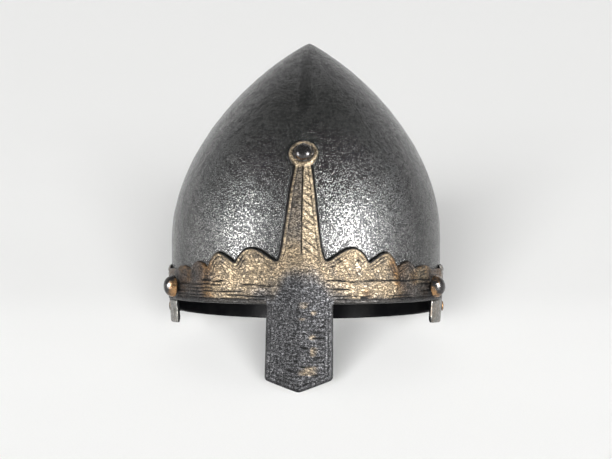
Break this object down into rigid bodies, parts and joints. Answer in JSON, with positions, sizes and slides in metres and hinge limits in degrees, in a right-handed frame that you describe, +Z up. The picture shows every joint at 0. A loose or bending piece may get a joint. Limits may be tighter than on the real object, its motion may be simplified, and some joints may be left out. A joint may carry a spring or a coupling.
{
  "type": "nasal helmet",
  "caption": "Pointed steel helmet with a scalloped brow band, a riveted front bar, a broad nose guard and a raised neck band; it rests leaning back on nose guard and heel.",
  "frame": {"origin": "on the surface it rests on, under the middle of the whole helmet's box", "axes": "+Z up, -Y the front with the nose guard, +X the viewer's right when facing the front"},
  "size_m": [0.2112, 0.2548, 0.2336],
  "materials": {
    "dark_steel": "hammered gunmetal, worn silver on the high grain",
    "copper_rubbed_steel": "rubbed copper over dark steel, dark grey on the nose guard",
    "aged_steel": "aged grey steel with brown patches",
    "rivet_steel": "polished dark steel with rubbed copper"
  },
  "bodies": {
    "root": {"skull": "dark_steel", "brow_band": "copper_rubbed_steel", "neck_band": "aged_steel", "front_rivet": "rivet_steel", "ear_rivet_left": "rivet_steel", "ear_rivet_right": "rivet_steel", "side_rivet_left": "rivet_steel", "side_rivet_right": "rivet_steel"}
  },
  "joints": []
}
